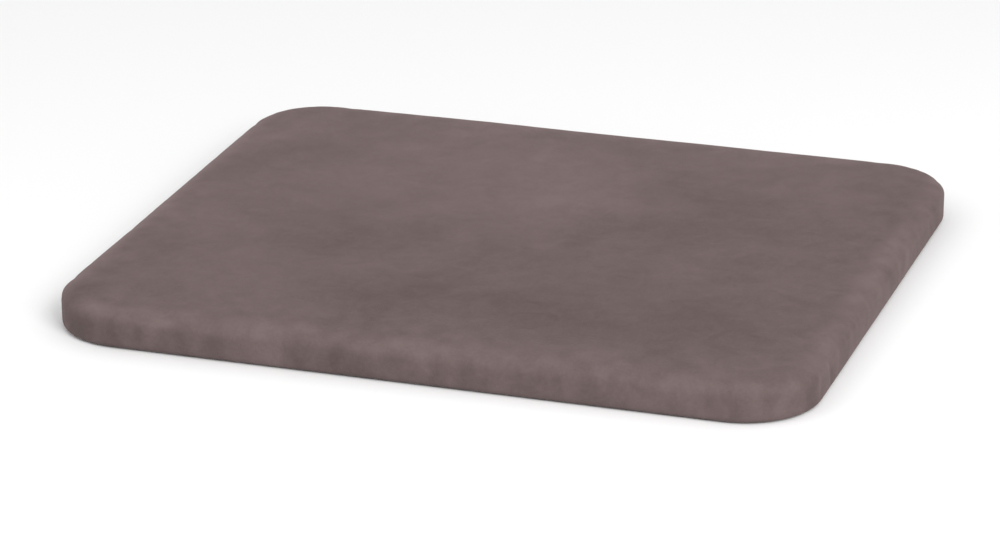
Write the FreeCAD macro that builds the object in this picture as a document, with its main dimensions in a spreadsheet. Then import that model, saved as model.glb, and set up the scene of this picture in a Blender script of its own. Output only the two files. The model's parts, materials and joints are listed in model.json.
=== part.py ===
import FreeCAD, Part
import os
import Sketcher

# A kneeling pad: two layers of foam in a napped fabric cover that is rolled over every edge.
# The cover closes with a coil zip in the back wall, so that it can come off for washing.
#
# Millimetres. +Z is up and z = 0 is the face that rests on the ground. X runs along the
# length and Y across the width, with x = y = 0 at the middle and the zip on the +Y wall.

MM = FreeCAD.Vector
DOC = FreeCAD.newDocument("kneeling_pad")
SHEET = DOC.addObject("Spreadsheet::Sheet", "Sizes")

# Each size that can be chosen by itself: name, millimetres.
SIZES = [
    ("pad_length", 510.0),
    ("pad_width", 440.0),
    ("pad_height", 26.6),
    ("corner_radius", 51.0),
    ("top_roll", 8.0),
    ("foot_roll", 4.0),
    ("cover_wall", 1.2),
    ("hem_width", 7.0),
    ("base_wall", 1.0),
    ("grip_height", 0.8),
    ("grip_margin", 4.0),
    ("support_height", 15.0),
    ("foam_gap", 0.3),
    ("thread_width", 0.5),
    ("zip_length", 320.0),
    ("window_gap", 0.4),
    ("window_corner", 1.5),
    ("tape_wall", 0.5),
    ("tape_split", 1.5),
    ("tape_end", 12.0),
    ("coil_width", 4.2),
    ("coil_depth", 1.9),
    ("stop_length", 2.0),
    ("stop_depth", 1.4),
    ("stop_margin", 4.0),
    ("slider_length", 9.0),
    ("slider_gap", 0.3),
    ("slider_wall", 1.1),
    ("flange_wall", 0.7),
    ("nose_length", 2.2),
    ("bridge_length", 6.2),
    ("bridge_width", 1.6),
    ("bridge_wall", 0.9),
    ("pivot_radius", 0.55),
    ("pivot_gap", 0.4),
    ("tab_length", 22.0),
    ("tab_width", 5.2),
    ("tab_wall", 1.0),
    ("tab_hole_side", 0.5),
]

# Sizes that follow from the chosen ones: name, formula.
DERIVED = [
    # The cover stands on the grip layer, and the foam stands on whatever lies higher.
    ("cover_bottom", "=grip_height"),
    ("foam_bottom", "=cover_bottom + max(cover_wall; base_wall)"),
    ("foam_top", "=pad_height - cover_wall"),
    ("foam_split", "=foam_bottom + support_height"),
    # The foam is set in from the cover's outer face by the cover, the zip tape and a gap.
    ("foam_inset", "=cover_wall + tape_wall + foam_gap"),
    ("hem_inset", "=foot_roll + hem_width - cover_wall"),
    ("grip_inset", "=hem_inset + grip_margin"),
    # The zip lies in the middle of the upright part of the back wall.
    ("zip_level", "=(cover_bottom + foot_roll + pad_height - top_roll) / 2"),
    ("wall_face", "=pad_width / 2"),
    ("tape_front", "=wall_face - cover_wall"),
    ("tape_back", "=tape_front - tape_wall"),
    ("tape_top", "=pad_height - top_roll - foam_gap"),
    ("tape_bottom", "=cover_bottom + foot_roll + foam_gap"),
    ("coil_front", "=tape_front + coil_depth"),
    # The slider's two plates clear the coil and the tapes by the same gap.
    ("plate_back", "=coil_front + slider_gap"),
    ("plate_front", "=plate_back + slider_wall"),
    ("inner_front", "=tape_back - slider_gap"),
    ("inner_back", "=inner_front - slider_wall"),
    ("slider_half", "=coil_width / 2 + slider_gap + flange_wall"),
    # The window clears the slider, and the foam's channel clears its inner plate.
    ("zip_window", "=2 * (slider_half + window_gap)"),
    ("channel_back", "=inner_back - foam_gap"),
    ("channel_half", "=slider_half + foam_gap"),
    # Along the zip: top stop, slider, coil and bottom stop, from +X to -X.
    ("top_stop_end", "=zip_length / 2 - stop_margin"),
    ("slider_end", "=top_stop_end - stop_length - slider_gap"),
    ("slider_start", "=slider_end - slider_length"),
    ("coil_end", "=slider_end - nose_length - slider_gap"),
    ("bottom_stop_start", "=-zip_length / 2 + stop_margin"),
    ("coil_start", "=bottom_stop_start + stop_length"),
    ("slider_travel", "=slider_start - coil_start - slider_gap"),
    # The tab turns about a bar that lies under the middle of the bridge.
    ("pivot_x", "=(slider_start + slider_end) / 2"),
    ("pivot_y", "=plate_front + pivot_gap + pivot_radius"),
    ("bridge_back", "=pivot_y + pivot_radius + pivot_gap"),
    ("bridge_front", "=bridge_back + bridge_wall"),
    ("bridge_reach", "=sqrt((bridge_length / 2)^2 + (bridge_front - pivot_y)^2)"),
    ("tab_hole_reach", "=bridge_reach + pivot_gap"),
]

SUB_PARTS = []


def fill_sheet():
    """Write the chosen sizes as plain numbers and the derived ones as formulas."""
    rows = [(name, str(value)) for name, value in SIZES] + DERIVED
    for row, (name, content) in enumerate(rows, start=1):
        SHEET.set("A%d" % row, name)
        SHEET.set("B%d" % row, content)
        SHEET.setAlias("B%d" % row, name)
    DOC.recompute()


def size(name):
    """The value of a named size, in millimetres."""
    return float(SHEET.get(name))


def value(formula):
    """What a formula comes to, in millimetres."""
    return float(SHEET.evalExpression(with_sheet(formula)))


def bind(feature, **formulas):
    """Tie properties of a feature to sizes of the sheet: Length="pad_height - grip_height"."""
    for path, formula in formulas.items():
        feature.setExpression(path.replace("__", "."), with_sheet(formula))


def with_sheet(formula):
    """Put the sheet's name before each size that a formula uses."""
    names = sorted([name for name, _ in SIZES + DERIVED], key=len, reverse=True)
    words = formula.replace("(", " ( ").replace(")", " ) ").split()
    return " ".join("Sizes." + word if word in names else word for word in words)


def sub_part(feature, node):
    """Give a finished sub-part the name of its node."""
    feature.Label = node
    SUB_PARTS.append(feature)
    return feature


def new_body(name):
    return DOC.addObject("PartDesign::Body", name)


def new_sketch(body, name, role, offset="0"):
    """A sketch on one of the body's own planes, moved along the plane's normal."""
    plane = next(o for o in body.Origin.OriginFeatures if o.Role == role)
    sketch = body.newObject("Sketcher::SketchObject", name)
    sketch.AttachmentSupport = [(plane, "")]
    sketch.MapMode = "FlatFace"
    sketch.setExpression("AttachmentOffset.Base.z", with_sheet(offset))
    return sketch


def segment(x0, y0, x1, y1):
    return Part.LineSegment(MM(x0, y0, 0), MM(x1, y1, 0))


def add_rectangle(sketch, left, right, low, high):
    """A rectangle whose four sides lie at four formulas, measured from the sketch's origin."""
    first = sketch.GeometryCount
    x0, x1, y0, y1 = [value(side) for side in (left, right, low, high)]
    corners = [(x0, y0), (x1, y0), (x1, y1), (x0, y1)]
    for i, corner in enumerate(corners):
        sketch.addGeometry(segment(*corner, *corners[(i + 1) % 4]), False)
    for i in range(4):
        sketch.addConstraint(
            Sketcher.Constraint("Coincident", first + i, 2, first + (i + 1) % 4, 1)
        )
    for i, kind in enumerate(["Horizontal", "Vertical", "Horizontal", "Vertical"]):
        sketch.addConstraint(Sketcher.Constraint(kind, first + i))
    set_side(sketch, "DistanceX", first, 1, left)
    set_side(sketch, "DistanceX", first, 2, right)
    set_side(sketch, "DistanceY", first, 1, low)
    set_side(sketch, "DistanceY", first + 2, 1, high)


def set_side(sketch, kind, line, end, formula):
    """Hold one end of a line at a formula's distance from the sketch's origin."""
    constraint = Sketcher.Constraint(kind, -1, 1, line, end, value(formula))
    index = sketch.addConstraint(constraint)
    sketch.setExpression("Constraints[%d]" % index, with_sheet(formula))


def add_rounded_rectangle(sketch, half_x, half_y, radius):
    """A rectangle about the origin with round corners: half lengths and radius are formulas."""
    first = sketch.GeometryCount
    hx, hy, r = value(half_x), value(half_y), value(radius)
    quarter = 1.5707963267948966
    for i, (x, y) in enumerate([(hx, hy), (-hx, hy), (-hx, -hy), (hx, -hy)]):
        centre = MM(x - r if x > 0 else x + r, y - r if y > 0 else y + r, 0)
        circle = Part.Circle(centre, MM(0, 0, 1), r)
        arc = Part.ArcOfCircle(circle, i * quarter, (i + 1) * quarter)
        sketch.addGeometry(arc, False)
    sides = [
        (hx - r, hy, -hx + r, hy),
        (-hx, hy - r, -hx, -hy + r),
        (-hx + r, -hy, hx - r, -hy),
        (hx, -hy + r, hx, hy - r),
    ]
    for side in sides:
        sketch.addGeometry(segment(*side), False)
    for i in range(4):
        line = first + 4 + i
        sketch.addConstraint(Sketcher.Constraint("Tangent", first + i, 2, line, 1))
        sketch.addConstraint(
            Sketcher.Constraint("Tangent", line, 2, first + (i + 1) % 4, 1)
        )
    for i in range(1, 4):
        sketch.addConstraint(Sketcher.Constraint("Equal", first, first + i))
    sketch.addConstraint(Sketcher.Constraint("Horizontal", first + 4))
    sketch.addConstraint(Sketcher.Constraint("Vertical", first + 5))
    sketch.addConstraint(Sketcher.Constraint("Horizontal", first + 6))
    sketch.addConstraint(Sketcher.Constraint("Vertical", first + 7))
    set_side(sketch, "DistanceY", first + 4, 1, half_y)
    set_side(sketch, "DistanceY", first + 6, 1, "0 - ( " + half_y + " )")
    set_side(sketch, "DistanceX", first + 7, 1, half_x)
    set_side(sketch, "DistanceX", first + 5, 1, "0 - ( " + half_x + " )")
    index = sketch.addConstraint(Sketcher.Constraint("Radius", first, r))
    sketch.setExpression("Constraints[%d]" % index, with_sheet(radius))


def add_pad(body, sketch, name, length, both_ways=False):
    """Fill a sketch to a formula's depth, to one side of it or half to each side."""
    pad = body.newObject("PartDesign::Pad", name)
    pad.Profile = sketch
    pad.Midplane = both_ways
    bind(pad, Length=length)
    return pad


def add_pocket(body, sketch, name, length):
    """A cut as long as the formula says, half to each side of the sketch."""
    pocket = body.newObject("PartDesign::Pocket", name)
    pocket.Profile = sketch
    pocket.Midplane = True
    bind(pocket, Length=length)
    return pocket


def rim_edges(feature, level):
    """The edges of a feature that lie flat at one height."""
    found = []
    for i, edge in enumerate(feature.Shape.Edges, start=1):
        box = edge.BoundBox
        if abs(box.ZMin - level) < 1e-4 and abs(box.ZMax - level) < 1e-4:
            found.append("Edge%d" % i)
    return found


def round_rim(body, feature, name, level, radius):
    """Round the flat rim of a slab at one height."""
    DOC.recompute()
    fillet = body.newObject("PartDesign::Fillet", name)
    fillet.Base = (feature, rim_edges(feature, level))
    bind(fillet, Radius=radius)
    return fillet


def slab(name, inset, low, high):
    """A flat slab with the pad's outline, set in from its outer face. Returns body and pad."""
    body = new_body(name)
    outline = new_sketch(body, name + "_outline", "XY_Plane", low)
    add_rounded_rectangle(
        outline,
        "pad_length / 2 - " + inset,
        "pad_width / 2 - " + inset,
        "corner_radius - " + inset,
    )
    block = add_pad(body, outline, name + "_block", high + " - " + low)
    return body, block


def box(name, x0, x1, y0, y1, z0, z1):
    """A plain block between six formulas."""
    block = DOC.addObject("Part::Box", name)
    bind(
        block,
        Length="( " + x1 + " ) - ( " + x0 + " )",
        Width="( " + y1 + " ) - ( " + y0 + " )",
        Height="( " + z1 + " ) - ( " + z0 + " )",
        Placement__Base__x=x0,
        Placement__Base__y=y0,
        Placement__Base__z=z0,
    )
    return block


def cut(name, base, tool):
    result = DOC.addObject("Part::Cut", name)
    result.Base = base
    result.Tool = tool
    return result


def fuse(name, shapes):
    result = DOC.addObject("Part::MultiFuse", name)
    result.Shapes = shapes
    return result


def make_cover():
    """The fabric cover: top, rolled edge, wall and turned-under hem in one piece."""
    form, block = slab("cover_form", "0", "cover_bottom", "pad_height")
    crown = round_rim(form, block, "cover_crown", size("pad_height"), "top_roll")
    round_rim(form, crown, "cover_foot", size("cover_bottom"), "foot_roll")

    low = "cover_bottom + cover_wall"
    cavity, block = slab("cover_cavity", "cover_wall", "( " + low + " )", "foam_top")
    crown = round_rim(
        cavity, block, "cavity_crown", size("foam_top"), "top_roll - cover_wall"
    )
    floor = size("cover_bottom") + size("cover_wall")
    round_rim(cavity, crown, "cavity_foot", floor, "foot_roll - cover_wall")

    # The hem frames an opening in the underside, and the base panel closes it.
    opening, _ = slab("cover_opening", "hem_inset", "cover_bottom", "foam_bottom")
    window = make_zip_window()
    holes = fuse("cover_holes", [cavity, opening, window])
    return sub_part(cut("cover", form, holes), "velour_cover")


def make_zip_window():
    """The long slot with round corners that the zip shows through, in the back wall."""
    body = new_body("zip_window")
    outline = new_sketch(body, "zip_window_outline", "XZ_Plane", "0 - wall_face")
    outline.setExpression("AttachmentOffset.Base.y", "Sizes.zip_level")
    add_rounded_rectangle(outline, "zip_length / 2", "zip_window / 2", "window_corner")
    # The slot is cut well past both faces of the wall.
    add_pad(body, outline, "zip_window_block", "4 * cover_wall", both_ways=True)
    return body


def make_base_panel():
    """The flat panel that closes the underside, inside the hem."""
    body, _ = slab(
        "base", "hem_inset", "cover_bottom", "( cover_bottom + base_wall )"
    )
    return sub_part(body, "base_panel")


def make_grip_layer():
    """The anti-slip layer under the base panel, which the pad stands on."""
    body, _ = slab("grip", "grip_inset", "0", "grip_height")
    return sub_part(body, "grip_layer")


def make_hem_thread():
    """The row of thread that holds the hem to the base panel, as one flat ring."""
    body = new_body("hem_ring")
    level = "cover_bottom - thread_width"
    outline = new_sketch(body, "hem_ring_outline", "XY_Plane", level)
    for inset in ("( hem_inset - thread_width )", "( hem_inset + thread_width )"):
        add_rounded_rectangle(
            outline,
            "pad_length / 2 - " + inset,
            "pad_width / 2 - " + inset,
            "corner_radius - " + inset,
        )
    add_pad(body, outline, "hem_ring_block", "thread_width")
    return sub_part(body, "hem_thread")


def make_support_foam():
    """The firm lower layer, with a channel in its back face for the slider's inner plate."""
    body, block = slab("support", "foam_inset", "foam_bottom", "foam_split")
    round_rim(
        body, block, "support_foot", size("foam_bottom"), "foot_roll - foam_inset"
    )
    channel = new_sketch(body, "slider_channel", "YZ_Plane")
    # The channel runs a little past the foam's back face, so that it is open there.
    add_rectangle(
        channel,
        "channel_back",
        "wall_face",
        "zip_level - channel_half",
        "zip_level + channel_half",
    )
    add_pocket(body, channel, "slider_channel_cut", "zip_length")
    return sub_part(body, "support_foam")


def make_comfort_foam():
    """The soft upper layer, rounded over its top edge."""
    body, block = slab("comfort", "foam_inset", "foam_split", "foam_top")
    round_rim(body, block, "comfort_crown", size("foam_top"), "top_roll - foam_inset")
    return sub_part(body, "comfort_foam")


def make_zip_tapes():
    """Two woven tapes behind the cover's wall, with a narrow split between them."""
    half_length = "zip_length / 2 + tape_end"
    spans = {
        "upper": ("zip_level + tape_split / 2", "tape_top"),
        "lower": ("tape_bottom", "zip_level - tape_split / 2"),
    }
    for side, (low, high) in spans.items():
        tape = box(
            "tape_" + side,
            "0 - ( " + half_length + " )",
            half_length,
            "tape_back",
            "tape_front",
            low,
            high,
        )
        sub_part(tape, "zip_tape_" + side)


def make_zip_coils():
    """The two rows of coil, each as a bar of the row's outer size, meeting in the middle."""
    spans = {
        "upper": ("zip_level", "zip_level + coil_width / 2"),
        "lower": ("zip_level - coil_width / 2", "zip_level"),
    }
    for side, (low, high) in spans.items():
        coil = box(
            "coil_" + side, "coil_start", "coil_end", "tape_front", "coil_front", low, high
        )
        sub_part(coil, "zip_coil_" + side)


def make_zip_stops():
    """A clamp across both tapes at each end of the coil."""
    starts = {"top": "top_stop_end - stop_length", "bottom": "bottom_stop_start"}
    for side, start in starts.items():
        stop = box(
            "stop_" + side,
            start,
            start + " + stop_length",
            "tape_front",
            "tape_front + stop_depth",
            "zip_level - coil_width / 2",
            "zip_level + coil_width / 2",
        )
        sub_part(stop, "zip_%s_stop" % side)


def make_zip_thread():
    """The row of thread round the zip's window, which holds the tapes to the cover."""
    body = new_body("zip_ring")
    outline = new_sketch(body, "zip_ring_outline", "XZ_Plane", "0 - wall_face")
    outline.setExpression("AttachmentOffset.Base.y", "Sizes.zip_level")
    for reach in ("1.5 * thread_width", "2.5 * thread_width"):
        add_rounded_rectangle(
            outline,
            "zip_length / 2 + " + reach,
            "zip_window / 2 + " + reach,
            "window_corner + " + reach,
        )
    ring = add_pad(body, outline, "zip_ring_block", "thread_width / 2")
    ring.Reversed = True
    return sub_part(body, "zip_thread")


def make_slider():
    """The slider: two plates joined by the post at its nose, two flanges and a bridge."""
    low, high = "zip_level - slider_half", "zip_level + slider_half"
    ends = ("slider_start", "slider_end")
    outer = box("outer_plate", *ends, "plate_back", "plate_front", low, high)
    inner = box("inner_plate", *ends, "inner_back", "inner_front", low, high)
    flange_back = "tape_front + slider_gap"
    flanges = [
        box("flange_upper", *ends, flange_back, "plate_back", high + " - flange_wall", high),
        box("flange_lower", *ends, flange_back, "plate_back", low, low + " + flange_wall"),
    ]
    # The post passes between the tapes, clear of both by the slider's gap.
    post_half = "( tape_split / 2 - slider_gap )"
    post = box(
        "nose_post",
        "slider_end - nose_length",
        "slider_end",
        "inner_front",
        "plate_back",
        "zip_level - " + post_half,
        "zip_level + " + post_half,
    )
    body = fuse("slider", [outer, inner, post, make_bridge()] + flanges)
    return sub_part(body, "zip_slider")


def make_bridge():
    """The arch on the outer plate that the pull tab's bar passes under."""
    sides = ("zip_level - bridge_width / 2", "zip_level + bridge_width / 2")
    left, right = "pivot_x - bridge_length / 2", "pivot_x + bridge_length / 2"
    arch = box("bridge_arch", left, right, "plate_front", "bridge_front", *sides)
    gap = box(
        "bridge_gap",
        left + " + bridge_wall",
        right + " - bridge_wall",
        "plate_front",
        "bridge_back",
        *sides,
    )
    return cut("bridge", arch, gap)


def make_pull_tab():
    """The pull tab, lying along the zip, with an eye that the bridge passes through."""
    body = new_body("tab")
    outline = new_sketch(body, "tab_outline", "XZ_Plane", "0 - pivot_y")
    half_width = "tab_width / 2"
    add_rectangle(
        outline,
        "pivot_x - tab_length",
        "pivot_x",
        "zip_level - " + half_width,
        "zip_level + " + half_width,
    )
    hole_half = "( bridge_width / 2 + tab_hole_side )"
    add_rectangle(
        outline,
        "pivot_x - tab_hole_reach",
        "pivot_x - 0.5 * pivot_radius",
        "zip_level - " + hole_half,
        "zip_level + " + hole_half,
    )
    plate = add_pad(body, outline, "tab_plate", "tab_wall", both_ways=True)
    DOC.recompute()
    corners = body.newObject("PartDesign::Fillet", "tab_corners")
    corners.Base = (plate, far_corner_edges(plate))
    bind(corners, Radius="tab_width / 4")
    bar = make_tab_bar(body)
    body.Tip = bar
    return sub_part(body, "zip_pull_tab")


def far_corner_edges(plate):
    """The two short edges at the free end of the tab."""
    shape = plate.Shape
    found = []
    for i, edge in enumerate(shape.Edges, start=1):
        box_ = edge.BoundBox
        at_end = abs(box_.XMax - shape.BoundBox.XMin) < 1e-4
        if at_end and box_.YLength > size("tab_wall") / 2:
            found.append("Edge%d" % i)
    return found


def make_tab_bar(body):
    """The round bar at the tab's eye, which turns under the bridge."""
    section = new_sketch(body, "bar_section", "XY_Plane", "zip_level")
    centre = MM(size("pivot_x"), size("pivot_y"), 0)
    section.addGeometry(Part.Circle(centre, MM(0, 0, 1), size("pivot_radius")), False)
    set_side(section, "DistanceX", 0, 3, "pivot_x")
    set_side(section, "DistanceY", 0, 3, "pivot_y")
    radius = Sketcher.Constraint("Radius", 0, size("pivot_radius"))
    index = section.addConstraint(radius)
    section.setExpression("Constraints[%d]" % index, with_sheet("pivot_radius"))
    return add_pad(body, section, "tab_bar", "tab_width", both_ways=True)


def check_document():
    """Stop if any object failed, or a sub-part isn't one sound solid."""
    for item in DOC.Objects:
        if "Invalid" in item.State or "Error" in item.State:
            raise RuntimeError("%s failed: %s" % (item.Name, item.State))
    for item in SUB_PARTS:
        shape = item.Shape
        if shape.isNull() or not shape.isValid() or len(shape.Solids) != 1:
            raise RuntimeError("%s isn't one sound solid" % item.Label)


def write_parts():
    os.makedirs("parts", exist_ok=True)
    for item in SUB_PARTS:
        item.Shape.exportStep("parts/%s.step" % item.Label)
        box_ = item.Shape.BoundBox
        print(
            "%-16s %10.1f mm3  x %.2f..%.2f  y %.2f..%.2f  z %.2f..%.2f"
            % (
                item.Label,
                item.Shape.Volume,
                box_.XMin,
                box_.XMax,
                box_.YMin,
                box_.YMax,
                box_.ZMin,
                box_.ZMax,
            )
        )


fill_sheet()
make_support_foam()
make_comfort_foam()
make_cover()
make_base_panel()
make_grip_layer()
make_hem_thread()
make_zip_tapes()
make_zip_coils()
make_zip_stops()
make_zip_thread()
make_slider()
make_pull_tab()
DOC.recompute()
check_document()
write_parts()
print("slider travel %.2f mm" % size("slider_travel"))
print("tab pivot x %.3f y %.3f z %.3f" % (size("pivot_x"), size("pivot_y"), size("zip_level")))
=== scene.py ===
# %% [markdown]
# # A velour kneeling pad, built around its frame
# The pad is a flat block of foam in a soft napped cover that a zip closes at the back. The
# frame holds the exact parts: the foam layers, the cover's solid, the zip and its slider.
# This script gives each of them the surface that it has in the hand.

# %% Load the frame
import json
import math
import random

import bpy
import bmesh
import numpy as np
from mathutils import Matrix, Vector, noise


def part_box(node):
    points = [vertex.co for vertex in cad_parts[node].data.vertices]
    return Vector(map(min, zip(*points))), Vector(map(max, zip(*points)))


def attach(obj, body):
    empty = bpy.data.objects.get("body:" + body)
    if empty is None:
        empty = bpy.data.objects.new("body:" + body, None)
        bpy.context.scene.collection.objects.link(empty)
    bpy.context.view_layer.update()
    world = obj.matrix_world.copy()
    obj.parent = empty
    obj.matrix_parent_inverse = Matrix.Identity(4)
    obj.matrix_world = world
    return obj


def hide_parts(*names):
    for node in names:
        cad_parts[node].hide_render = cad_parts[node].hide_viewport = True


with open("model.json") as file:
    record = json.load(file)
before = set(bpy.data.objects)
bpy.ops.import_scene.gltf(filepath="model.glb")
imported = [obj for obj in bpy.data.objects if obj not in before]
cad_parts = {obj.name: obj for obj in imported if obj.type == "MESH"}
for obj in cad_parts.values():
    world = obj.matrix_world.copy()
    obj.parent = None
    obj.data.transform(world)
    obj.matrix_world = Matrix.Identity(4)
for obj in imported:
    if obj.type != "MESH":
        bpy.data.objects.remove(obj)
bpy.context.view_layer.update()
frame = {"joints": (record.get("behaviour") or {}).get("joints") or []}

MM = 0.001

# %% [markdown]
# ## Sizes come from the frame
# Every size below is read from the box of a frame part, so that a new frame gives a new pad
# that still fits. Only the soft shape of the fabric is chosen here: how wide the cover rolls
# over its top edge, how small the roll at its foot is, and how round the corners are.

# %% Measure the parts
COVER_LOW, COVER_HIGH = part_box("velour_cover")
BASE_LOW, BASE_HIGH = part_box("base_panel")
GRIP_LOW, GRIP_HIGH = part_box("grip_layer")
COIL_LOW, COIL_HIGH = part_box("zip_coil_lower")
THREAD_LOW, THREAD_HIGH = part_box("zip_thread")
HALF_X, HALF_Y = COVER_HIGH.x, COVER_HIGH.y
FOOT_Z, TOP_Z = COVER_LOW.z, COVER_HIGH.z
ZIP_Z = COIL_HIGH.z
CORNER = 51 * MM
ROLL_WIDE, ROLL_HIGH = 13 * MM, 8 * MM
FOOT_ROLL = 4 * MM
HEM_INSET = HALF_X - BASE_HIGH.x
print("cover", round(2 * HALF_X, 3), "by", round(2 * HALF_Y, 3), "m, top at", round(TOP_Z, 4))


# %% [markdown]
# ## Short helpers for every piece
# These few steps come up for nearly every piece: putting an object in the scene, reading and
# moving its points as one array, keeping what a modifier makes as a plain mesh, and giving the
# piece its material and its place in the frame.

# %% Mesh helpers
def link_object(name, data):
    """A new object that shows the data, linked to the scene."""
    made = bpy.data.objects.new(name, data)
    bpy.context.scene.collection.objects.link(made)
    return made


def evaluated(thing):
    """The object as its modifiers leave it."""
    return thing.evaluated_get(bpy.context.evaluated_depsgraph_get())


def points_of(mesh):
    flat = np.zeros(len(mesh.vertices) * 3)
    mesh.vertices.foreach_get("co", flat)
    return flat.reshape(-1, 3)


def move_points(piece, points):
    piece.data.vertices.foreach_set("co", points.ravel())
    piece.data.update()


def keep_result(piece, modifier):
    """Makes what a modifier shows the piece's own mesh, and removes the modifier."""
    finished = bpy.data.meshes.new_from_object(evaluated(piece))
    piece.modifiers.remove(modifier)
    old = piece.data
    piece.data = finished
    bpy.data.meshes.remove(old)
    finished.shade_smooth()


def subdivide(piece):
    """Applies one level of Subdivision Surface, so that later steps see its points."""
    smooth = piece.modifiers.new("smooth", "SUBSURF")
    smooth.levels = smooth.render_levels = 1
    keep_result(piece, smooth)


def finish_piece(piece, material, body, slot, *nodes):
    """Gives a piece its material and its body, and hides the frame parts it stands for. Slot: not
    used.
    """
    piece.data.materials.clear()
    piece.data.materials.append(material)
    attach(piece, body)
    if nodes:
        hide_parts(*nodes)
    print(piece.name, len(piece.data.vertices), "points on", body)


# %% [markdown]
# ## The outline, and a mesh that follows it
# A remeshed block has edges that run in steps round the corners. A cover is cut to its
# outline, so this mesh is laid out the way the fabric lies: rings that follow the outline
# down the wall, and a grid across the top and the underside that shares its edge with them.
# Each point of the outline is kept as a corner centre and a direction, so that a ring set in
# from the edge is the same points with a shorter reach.

# %% The outline as centres and directions
COVER_CELL, FOAM_CELL, SEAM_CELL = 6 * MM, 14 * MM, 5 * MM
ARC_STEPS = 7


def outline(half_x, half_y, corner, cell):
    """Centres and directions round the pad, from the front left corner, and cells each way."""
    reach_x, reach_y = half_x - corner, half_y - corner
    corners = [(-reach_x, -reach_y), (reach_x, -reach_y), (reach_x, reach_y), (-reach_x, reach_y)]
    centres, angles, cells = [], [], []
    for side, facing in enumerate((-90, 0, 90, 180)):
        start, end = Vector(corners[side]), Vector(corners[(side + 1) % 4])
        runs = round((end - start).length / cell)
        for step in range(ARC_STEPS):
            centres.append(start)
            angles.append(facing - 45 + 45 * step / ARC_STEPS)
        for step in range(runs):
            centres.append(start.lerp(end, step / runs))
            angles.append(facing)
        for step in range(ARC_STEPS):
            centres.append(end)
            angles.append(facing + 45 * step / ARC_STEPS)
        cells.append(2 * ARC_STEPS + runs)
    turned = np.radians(angles)
    directions = np.column_stack([np.cos(turned), np.sin(turned)])
    return np.array([tuple(c) for c in centres]), directions, cells[0], cells[1]


def patch(edge, across, along):
    """Fills a closed ring of points with a grid that keeps the ring as its edge."""
    front = edge[: across + 1]
    right = edge[across : across + along + 1]
    back = edge[across + along : 2 * across + along + 1][::-1]
    left = np.vstack([edge[2 * across + along :], edge[:1]])[::-1]
    u = np.linspace(0, 1, across + 1)[:, None, None]
    v = np.linspace(0, 1, along + 1)[None, :, None]
    sides = (1 - v) * front[:, None] + v * back[:, None]
    sides = sides + (1 - u) * left[None] + u * right[None]
    corners = (1 - u) * (1 - v) * front[0] + u * (1 - v) * front[-1]
    corners = corners + (1 - u) * v * back[0] + u * v * back[-1]
    return sides - corners


# %% The pad's form
def pad_form(name, half_x, half_y, corner, profile, cell=FOAM_CELL):
    """A closed pad: a grid on top, a ring for each (inset, height) of the profile, a grid below."""
    centres, directions, across, along = outline(half_x, half_y, corner, cell)
    count = len(centres)
    points, faces = [], []

    def ring(inset, height):
        flat = centres + directions * (corner - inset)
        return np.column_stack([flat, np.full(count, height)])

    def grid(inset, height, flip):
        first = sum(len(p) for p in points)
        cells = patch(ring(inset, height), across, along)
        points.append(cells.reshape(-1, 3))

        def at(i, j):
            return first + i * (along + 1) + j

        for i in range(across):
            for j in range(along):
                face = (at(i, j), at(i + 1, j), at(i + 1, j + 1), at(i, j + 1))
                faces.append(face[::-1] if flip else face)
        edge = [at(i, 0) for i in range(across)] + [at(across, j) for j in range(along)]
        edge += [at(i, along) for i in range(across, 0, -1)]
        return edge + [at(0, j) for j in range(along, 0, -1)]

    upper = grid(*profile[0], False)
    for inset, height in profile[1:-1]:
        first = sum(len(p) for p in points)
        points.append(ring(inset, height))
        lower = list(range(first, first + count))
        faces.extend(strip(upper, lower))
        upper = lower
    faces.extend(strip(upper, grid(*profile[-1], True)))
    mesh = bpy.data.meshes.new(name)
    mesh.from_pydata(np.vstack(points).tolist(), [], faces)
    mesh.validate()
    return link_object(name, mesh)


def strip(upper, lower):
    """The band of faces between two rings of the same count, facing outwards."""
    count = len(upper)
    nexts = [(i + 1) % count for i in range(count)]
    return [(upper[i], lower[i], lower[j], upper[j]) for i, j in enumerate(nexts)]


def quarter(steps, wide, high, top):
    """A quarter of an ellipse that falls from the flat top to the upright wall."""
    turns = [math.pi / 2 * step / steps for step in range(steps + 1)]
    return [(wide * (1 - math.sin(t)), top - high * (1 - math.cos(t))) for t in turns]


def foot(steps, radius, low):
    """A quarter circle from the upright wall round to the underside."""
    turns = [math.pi / 2 * step / steps for step in range(1, steps + 1)]
    return [(radius * (1 - math.cos(t)), low + radius * (1 - math.sin(t))) for t in turns]


# %% [markdown]
# ## The cover
# The cover is one piece of velour over the top and down the wall. Its edge is turned under
# and sewn to the base panel. The profile below is that path: the soft roll over the foam's
# edge, the wall, with a row of cells as high as the zip's window, the small roll at the foot,
# the hem, and a step up into the shallow well that holds the base panel.

# %% Lay out the cover
WINDOW_HALF = (THREAD_HIGH.z - THREAD_LOW.z) / 2 - 1.25 * MM
WINDOW_END = THREAD_HIGH.x - 1.25 * MM
WELL_Z = BASE_HIGH.z + 0.3 * MM


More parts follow.
